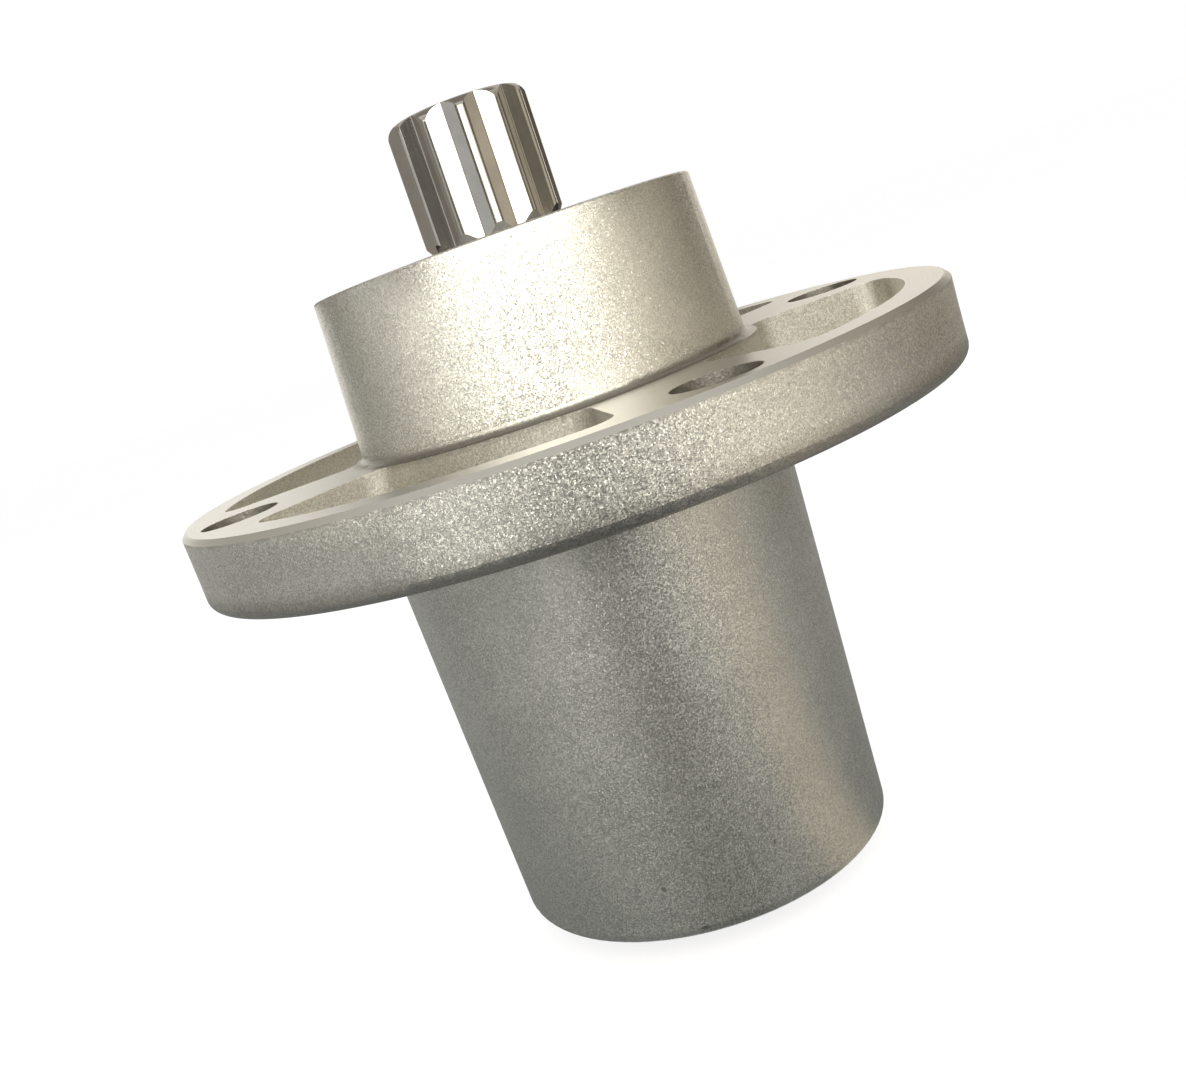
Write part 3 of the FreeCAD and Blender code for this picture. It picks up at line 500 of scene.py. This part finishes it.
def seal_rubber():
    """Black moulded rubber: fine rings from the mould, and a dull bloom."""
    material, tree, shader, coords = new_finish("moulded_rubber")
    spot = use(tree, about_axis, Vector=coords)
    rib = calc(tree, "SINE", calc(tree, "MULTIPLY", spot["Radius"], 2 * math.pi / (0.9 * MM)))
    bloom = put(tree, "TexNoise", {"Vector": coords, "Scale": 260.0, "Detail": 5.0}).outputs[0]
    skin = put(tree, "TexNoise", {"Vector": coords, "Scale": 3200.0, "Detail": 3.0}).outputs[0]
    black, bloomed = (0.022, 0.022, 0.024, 1.0), (0.045, 0.044, 0.043, 1.0)
    colour = mix_colour(tree, ramp(tree, bloom, 0.4, 0.7), black, bloomed)
    tree.links.new(colour, shader.inputs["Base Color"])
    tree.links.new(ramp(tree, bloom, 0.3, 0.7, 0.48, 0.66), shader.inputs["Roughness"])
    height = calc(tree, "ADD", calc(tree, "MULTIPLY", rib, 0.5), calc(tree, "MULTIPLY", skin, 0.25))
    bump = put(tree, "Bump", {"Height": height, "Strength": 0.5, "Distance": 0.06 * MM})
    tree.links.new(bump.outputs[0], shader.inputs["Normal"])
    return material


rings, balls, cages, seals = ground_steel(), ball_steel(), pressed_steel(), seal_rubber()
print("finishes", [m.name for m in (rings, balls, cages, seals)])

# %% [markdown]
# ## Dressing the CAD nodes
# Each node's name says what it is, so a few rules pick its finish. The mesh itself stays as it came.

# %% Dress the nodes
FINISH_BY_WORD = {"housing": casting, "shaft": shaft_steel, "seal": seals, "ball_": balls, "cage": cages}


def finish_of(name):
    """The finish whose word is in the node's name, past the bearing's own name; steel rings are left over."""
    own = name.split("bearing_", 1)[-1] if name != "bearing_spacer" else name
    return next((finish for word, finish in FINISH_BY_WORD.items() if word in own), rings)


for name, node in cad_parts.items():
    node.data.materials.clear()
    node.data.materials.append(finish_of(name))
counts = {}
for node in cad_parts.values():
    counts[node.data.materials[0].name] = counts.get(node.data.materials[0].name, 0) + 1
print("dressed:", counts)

# %% [markdown]
# ## Threads
# The CAD model bores both bolt holes to their threads' outside diameter. The ridge that makes the thread
# is one profile carried along a helix: a flat crest, two sloping flanks, and a foot sunk into the wall.
# Each end of the ridge sinks away, as where a tap starts and stops.

# %% Shape: thread ridge


def solid_from_loops(name, loops, finish):
    """A closed skin from an array (steps, loop points, 3): quads between neighbours, a cap at each end."""
    steps, count = loops.shape[:2]
    index = np.arange(steps * count).reshape(steps, count)
    beside = np.roll(index, -1, axis=1)
    quads = np.stack([index[:-1], beside[:-1], beside[1:], index[1:]], axis=-1).reshape(-1, 4)
    caps = [index[0][::-1].tolist(), index[-1].tolist()]
    mesh = bpy.data.meshes.new(name)
    mesh.from_pydata(loops.reshape(-1, 3).tolist(), [], quads.tolist() + caps)
    mesh.materials.append(finish)
    piece = bpy.data.objects.new(name, mesh)
    bpy.context.scene.collection.objects.link(piece)
    return piece


def thread_ridge(name, wall, core, pitch, mouth, depth, way, finish):
    """The thread's ridge in a hole that runs from the level mouth, up (1) or down (-1).

    u is the turn about the axis and v the place on the profile. Radius and level are
        radius = wall + sink at the foot, wall - rise(u) * (wall - core) at the crest
        level  = start + pitch * u / (2 pi) +- half width, narrower at the crest than at the foot
    rise goes smoothly from 0 to 1 in the first half turn and back in the last.
    """
    steps_per_turn, sink = 72, 0.03 * MM
    turns = (depth - 2.0 * pitch) / pitch
    u = np.linspace(0.0, 2 * np.pi * turns, int(turns * steps_per_turn))
    ends = np.minimum(u, u[-1] - u) / np.pi
    rise = np.clip(ends, 0.0, 1.0)
    rise = rise * rise * (3 - 2 * rise)
    foot_half, crest_half = 0.4375 * pitch, 0.125 * pitch
    crest = wall - rise * (wall - core)
    half = foot_half + (crest_half - foot_half) * rise
    radius = np.stack([np.full_like(u, wall + sink), crest, crest, np.full_like(u, wall + sink)], axis=1)
    across = np.stack([np.full_like(u, -foot_half), -half, half, np.full_like(u, foot_half)], axis=1)
    low = min(mouth, mouth + way * depth) + pitch
    level = low + pitch * u[:, None] / (2 * np.pi) + across
    loops = np.stack([radius * np.cos(u)[:, None], radius * np.sin(u)[:, None], level], axis=-1)
    piece = solid_from_loops(name, loops, finish)
    print(name, "turns", round(turns, 1), "faces", len(piece.data.polygons))
    return piece


SHAFT_TOP, SHAFT_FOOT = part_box("spindle_shaft")[1].z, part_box("spindle_shaft")[0].z
threads = [
    thread_ridge("pulley_bolt_thread", wall=5.0 * MM, core=4.25 * MM, pitch=1.5 * MM,
                 mouth=SHAFT_TOP, depth=21.0 * MM, way=-1, finish=shaft_steel),
    thread_ridge("blade_bolt_thread", wall=6.0 * MM, core=5.1 * MM, pitch=1.75 * MM,
                 mouth=SHAFT_FOOT, depth=28.0 * MM, way=1, finish=shaft_steel),
]


def signed_volume(piece):
    """A sixth of the sum over triangles of corner . (corner x corner); positive when faces look outwards."""
    mesh = piece.data
    mesh.calc_loop_triangles()
    corners = np.zeros(len(mesh.vertices) * 3)
    mesh.vertices.foreach_get("co", corners)
    order = np.zeros(len(mesh.loop_triangles) * 3, dtype=np.int32)
    mesh.loop_triangles.foreach_get("vertices", order)
    a, b, c = corners.reshape(-1, 3)[order.reshape(-1, 3)].transpose(1, 0, 2)
    return float(np.einsum("ij,ij->", a, np.cross(b, c)) / 6)


for thread in threads:
    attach(thread, "rotor")
    print(thread.name, "volume in cubic mm", round(signed_volume(thread) / MM**3, 1))

# %% [markdown]
# ## Floor and background
# The picture's ground is white all over. A floor bright enough to look white would also flood the part
# with light, so the floor and the world are white only for rays that come from the camera or bounce off
# something glossy. The floor still takes a soft shadow, because part of what it shows is ordinary shading.

# %% Floor and world
FLOOR_LEVEL = SHAFT_FOOT - 0.1 * MM
FLOOR_SIZE, FLOOR_GLOW = 6.0, 0.72


def seen_directly(tree):
    """1 for camera, glossy and transmission rays, 0 for the rest."""
    rays = put(tree, "LightPath").outputs
    shiny = calc(tree, "MAXIMUM", rays["Is Glossy Ray"], rays["Is Transmission Ray"])
    return calc(tree, "MAXIMUM", rays["Is Camera Ray"], shiny)


def white_world(fill):
    """White where it is seen, and a softer fill for the light that it gives."""
    world = bpy.data.worlds.new("white_room")
    world.use_nodes = True
    tree = world.node_tree
    background = tree.nodes["Background"]
    background.inputs["Color"].default_value = (1.0, 1.0, 1.0, 1.0)
    tree.links.new(mix_value(tree, seen_directly(tree), fill, 1.0), background.inputs["Strength"])
    return world


def white_floor():
    """Ordinary white shading, for the shadow, plus an even glow that only direct rays see."""
    material = bpy.data.materials.new("white_floor")
    material.use_nodes = True
    tree = material.node_tree
    tree.nodes.remove(tree.nodes["Principled BSDF"])
    speck = put(tree, "TexNoise", {"Scale": 30.0, "Detail": 2.0}).outputs[0]
    paper = mix_colour(tree, speck, (0.54, 0.54, 0.54, 1.0), (0.56, 0.56, 0.56, 1.0))
    matt = put(tree, "BsdfDiffuse", {"Color": paper})
    glow = put(tree, "Emission", {"Strength": calc(tree, "MULTIPLY", seen_directly(tree), FLOOR_GLOW)})
    both = put(tree, "AddShader", {0: matt.outputs[0], 1: glow.outputs[0]})
    tree.links.new(both.outputs[0], tree.nodes["Material Output"].inputs["Surface"])
    return material


def sheet_from_grid(name, points, finish):
    """An open skin of quads from an array (rows, columns, 3)."""
    rows, columns = points.shape[:2]
    index = np.arange(rows * columns).reshape(rows, columns)
    quads = np.stack([index[:-1, :-1], index[:-1, 1:], index[1:, 1:], index[1:, :-1]], axis=-1).reshape(-1, 4)
    mesh = bpy.data.meshes.new(name)
    mesh.from_pydata(points.reshape(-1, 3).tolist(), [], quads.tolist())
    mesh.materials.append(finish)
    sheet = bpy.data.objects.new(name, mesh)
    bpy.context.scene.collection.objects.link(sheet)
    sheet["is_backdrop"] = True
    return sheet


def floor_points():
    """A flat grid at the shaft's foot: x and y run evenly over a square."""
    x, y = np.meshgrid(np.linspace(-FLOOR_SIZE, FLOOR_SIZE, 5), np.linspace(-FLOOR_SIZE, FLOOR_SIZE, 5))
    return np.stack([x, y, np.full_like(x, FLOOR_LEVEL)], axis=-1)


bpy.context.scene.world = white_world(fill=0.5)
sheet_from_grid("floor", floor_points(), white_floor())
print("floor at", round(FLOOR_LEVEL / MM, 2), "mm")

# %% [markdown]
# ## The room that the metal reflects
# Metal shows little of its own colour; it shows what stands round it. In an all-white room the part would
# turn white and flat. An image of a real room could be wrapped round it, but a few painted patches do the
# same and can be reasoned about: a bright window behind the camera, pale and dark stretches of wall, and a
# table top that is lighter in two places. The room is a dome and a ring, coloured point by point with a
# formula. Only glossy rays see it, so no view shows it.

# %% Room: dome and table
VIEW_ANGLE = math.degrees(math.atan2(camera.location.y, camera.location.x))
ROOM_RADIUS = 0.9
ROOM_COLUMNS, ROOM_ROWS = 181, 61
TABLE_LEVEL = FLOOR_LEVEL + 0.05 * MM
TABLE_START, TABLE_END = 0.03, math.sqrt(ROOM_RADIUS**2 - TABLE_LEVEL**2)
WALL_TONE = (0.52, 0.50, 0.44)
TABLE_NEAR, TABLE_FAR, TABLE_FADE = np.array((0.145, 0.152, 0.149)), np.array((0.43, 0.437, 0.425)), 0.28
# Each patch: (turn from the camera, height), (half its width, half its height), colour. Walls count the
# height in degrees above the horizon, and the table counts metres from the axis.
WALL_PATCHES = {
    "ceiling": ((0, 90), (400, 42), (0.80, 0.785, 0.735)),
    "right_wall": ((100, 10), (45, 40), (0.42, 0.38, 0.30)),
    "left_glow": ((-58, 9), (17, 16), (1.15, 1.09, 0.96)),
    "right_glow": ((58, 5), (16, 16), (0.86, 0.78, 0.61)),
    "window": ((0, 21), (44, 15), (4.3, 4.15, 3.74)),
    "window_sill": ((2, -2), (24, 8), (0.24, 0.24, 0.22)),
    "left_back": ((-125, 5), (26, 7), (0.21, 0.205, 0.18)),
    "warm_strip": ((86, 5), (9, 7), (0.60, 0.53, 0.41)),
    "back_left": ((-157, 8), (15, 14), (1.60, 1.54, 1.43)),
    "back_middle": ((179, 8), (13, 14), (0.28, 0.26, 0.21)),
    "back_right": ((158, 8), (13, 11), (1.55, 1.45, 1.30)),
    "dark_door": ((121, 13), (19, 13), (0.13, 0.112, 0.09)),
}
TABLE_PATCHES = {
    "front_shade": ((2, 0.45), (17, 0.55), (0.11, 0.113, 0.108)),
    "left_shade": ((-96, 0.60), (38, 0.40), (0.24, 0.242, 0.24)),
    "left": ((-28, 0.62), (12, 0.34), (0.69, 0.685, 0.665)),
    "right_near": ((58, 0.15), (15, 0.25), (0.44, 0.405, 0.335)),
    "right_far": ((42, 0.64), (19, 0.27), (1.32, 1.20, 0.97)),
    "right_shade": ((112, 0.70), (28, 0.45), (0.17, 0.15, 0.12)),
}


def painted(turn, height, tones, patches):
    """Colours over a grid. Each patch is blended in fully up to half its reach, and not from one and a half:

        share = smooth step of (1.5 - distance), the distance being counted in half widths and half heights
    """
    for centre, reach, colour in patches.values():
        aside = ((turn - centre[0] + 180.0) % 360.0 - 180.0) / reach[0]
        share = np.clip(1.5 - np.hypot(aside, (height - centre[1]) / reach[1]), 0.0, 1.0)
        share = share * share * (3 - 2 * share)
        tones = tones + share[..., None] * (np.array(colour) - tones)
    return tones


def dome():
    """Points and colours of the walls and the ceiling: turn and height are the two angles on a sphere."""
    lowest = math.degrees(math.asin(TABLE_LEVEL / ROOM_RADIUS))
    turn, height = np.meshgrid(np.linspace(-180, 180, ROOM_COLUMNS), np.linspace(lowest, 90, ROOM_ROWS))
    around, lift = np.radians(VIEW_ANGLE + turn), np.radians(height)
    flat = np.cos(lift)
    points = ROOM_RADIUS * np.stack([np.cos(around) * flat, np.sin(around) * flat, np.sin(lift)], axis=-1)
    return points, painted(turn, height, np.full(points.shape, WALL_TONE), WALL_PATCHES)


def table():
    """Points and colours of the table: it grows lighter away from the part, as a falling exponential."""
    steps = np.linspace(-180, 180, ROOM_COLUMNS), np.linspace(TABLE_START, TABLE_END, ROOM_ROWS)
    turn, reach = np.meshgrid(*steps)
    around = np.radians(VIEW_ANGLE + turn)
    level = np.full_like(reach, TABLE_LEVEL)
    points = np.stack([reach * np.cos(around), reach * np.sin(around), level], axis=-1)
    tones = TABLE_FAR + np.exp(-reach / TABLE_FADE)[..., None] * (TABLE_NEAR - TABLE_FAR)
    return points, painted(turn, reach, tones, TABLE_PATCHES)


def room_finish():
    """Shines in the colour that is stored at each point."""
    material = bpy.data.materials.new("painted_room")
    material.use_nodes = True
    tree = material.node_tree
    tree.nodes.remove(tree.nodes["Principled BSDF"])
    tone = put(tree, "VertexColor", layer_name="Tone").outputs["Color"]
    glow = put(tree, "Emission", {"Color": tone, "Strength": 1.0})
    tree.links.new(glow.outputs[0], tree.nodes["Material Output"].inputs["Surface"])
    return material


def only_for_reflections(name, points, tones, finish):
    """A stage sheet with a colour at each point, left to glossy rays alone."""
    sheet = sheet_from_grid(name, points, finish)
    layer = sheet.data.color_attributes.new("Tone", "FLOAT_COLOR", "POINT")
    opaque = np.ones(tones.shape[:2] + (1,))
    layer.data.foreach_set("color", np.concatenate([tones, opaque], axis=-1).ravel())
    sheet.visible_camera = False
    sheet.visible_diffuse = False
    sheet.visible_shadow = False
    sheet.visible_transmission = False


room_paint = room_finish()
only_for_reflections("room_dome", *dome(), room_paint)
only_for_reflections("room_table", *table(), room_paint)
print("room patches", len(WALL_PATCHES) + len(TABLE_PATCHES))

# %% [markdown]
# ## Flags beside the spline
# A photographer holds small dark cards, called flags, close to a shiny piece so that its strips stand out
# from each other. Four of them stand level with the spline and one hangs above it, so the casting below
# hardly sees them. A bright card further out carries the window's light down to the foot of the flutes,
# and two last flags stand before the flange's rim, where it shows dim stretches.

# %% Flags
ROOF_FLAG_RADIUS, ROOF_FLAG_LEVEL, ROOF_FLAG_TONE = 45.0 * MM, 105.0 * MM, (0.28, 0.255, 0.22)
# Each card: (start, end) of its turn from the camera, (radius, low, high) in mm, colour.
CARDS = {
    "left_back_flag": ((-150, -75), (60, 31, 90), (0.30, 0.275, 0.24)),
    "left_grey_flag": ((-72, -50), (60, 31, 64), (0.54, 0.54, 0.52)),
    "left_dark_flag": ((-48, -28), (60, 31, 64), (0.14, 0.13, 0.11)),
    "right_dark_flag": ((44, 66), (60, 31, 64), (0.19, 0.168, 0.13)),
    "window_card": ((-16, 38), (150, 34, 46), (4.3, 4.15, 3.74)),
    "rim_flag": ((-12, 7), (150, -32, 10), (0.12, 0.12, 0.11)),
    "rim_left_flag": ((-56, -25), (86, -30, -2), (0.34, 0.337, 0.312)),
}


def card_points(turns, place):
    """A piece of a cylinder wall: the angle runs between the two turns, and the level from low to high."""
    radius, low, high = np.array(place) * MM
    turn, level = np.meshgrid(np.radians(VIEW_ANGLE + np.linspace(*turns, 13)), np.linspace(low, high, 3))
    return np.stack([radius * np.cos(turn), radius * np.sin(turn), level], axis=-1)


def roof_flag_points():
    """A flat disc above the shaft: the angle runs once round, the radius from the axis outwards."""
    turn, reach = np.meshgrid(np.linspace(0, 2 * np.pi, 33), np.linspace(0.0, ROOF_FLAG_RADIUS, 3))
    level = np.full_like(turn, ROOF_FLAG_LEVEL)
    return np.stack([reach * np.cos(turn), reach * np.sin(turn), level], axis=-1)


for name, (turns, place, tone) in CARDS.items():
    points = card_points(turns, place)
    only_for_reflections(name, points, np.full(points.shape, tone), room_paint)
points = roof_flag_points()
only_for_reflections("roof_flag", points, np.full(points.shape, ROOF_FLAG_TONE), room_paint)
print("cards", list(CARDS) + ["roof_flag"])

# %% [markdown]
# ## Lamps
# The room lights the metal, and the lamps do the rest: they shade the floor and the rubber. One large warm
# panel stands behind the camera, a little to its right, and a weaker one lights the far side.

# %% Lamps


def panel(name, angle, height, distance, size, strength, colour):
    """A rectangular lamp facing the part, at an angle from the camera; strength is relative to white."""
    turn, lift = math.radians(VIEW_ANGLE + angle), math.radians(height)
    away = Vector((math.cos(turn) * math.cos(lift), math.sin(turn) * math.cos(lift), math.sin(lift)))
    lamp = bpy.data.lights.new(name, "AREA")
    lamp.shape = "RECTANGLE"
    lamp.size, lamp.size_y = size
    lamp.energy = strength * math.pi * size[0] * size[1]
    lamp.color = colour
    light = bpy.data.objects.new(name, lamp)
    light.location = away * distance
    light.rotation_mode = "QUATERNION"
    light.rotation_quaternion = away.to_track_quat("Z", "Y")
    light.visible_camera = False
    light.visible_glossy = False
    bpy.context.scene.collection.objects.link(light)
    return light


key = panel("key_panel", angle=6.0, height=25.0, distance=0.6, size=(0.46, 0.34),
            strength=4.0, colour=(1.0, 0.97, 0.92))
back = panel("back_panel", angle=180.0, height=35.0, distance=0.8, size=(0.5, 0.4),
             strength=1.5, colour=(0.96, 0.98, 1.0))
print("lamps", key.name, back.name)

# %% [markdown]
# ## Sizes, and the end
# The pieces made here must not reach outside the CAD model's box, so both boxes are written down to be
# compared. The view settings stay plain, so a colour in the picture is the colour that was set.

# %% Write the sizes and finish
bpy.context.scene.view_settings.view_transform = "Standard"
visual_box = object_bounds()
gaps = [abs(a - b) for one, two in zip(cad_box, visual_box) for a, b in zip(one, two)]
print("boxes agree to", max(gaps), "m")
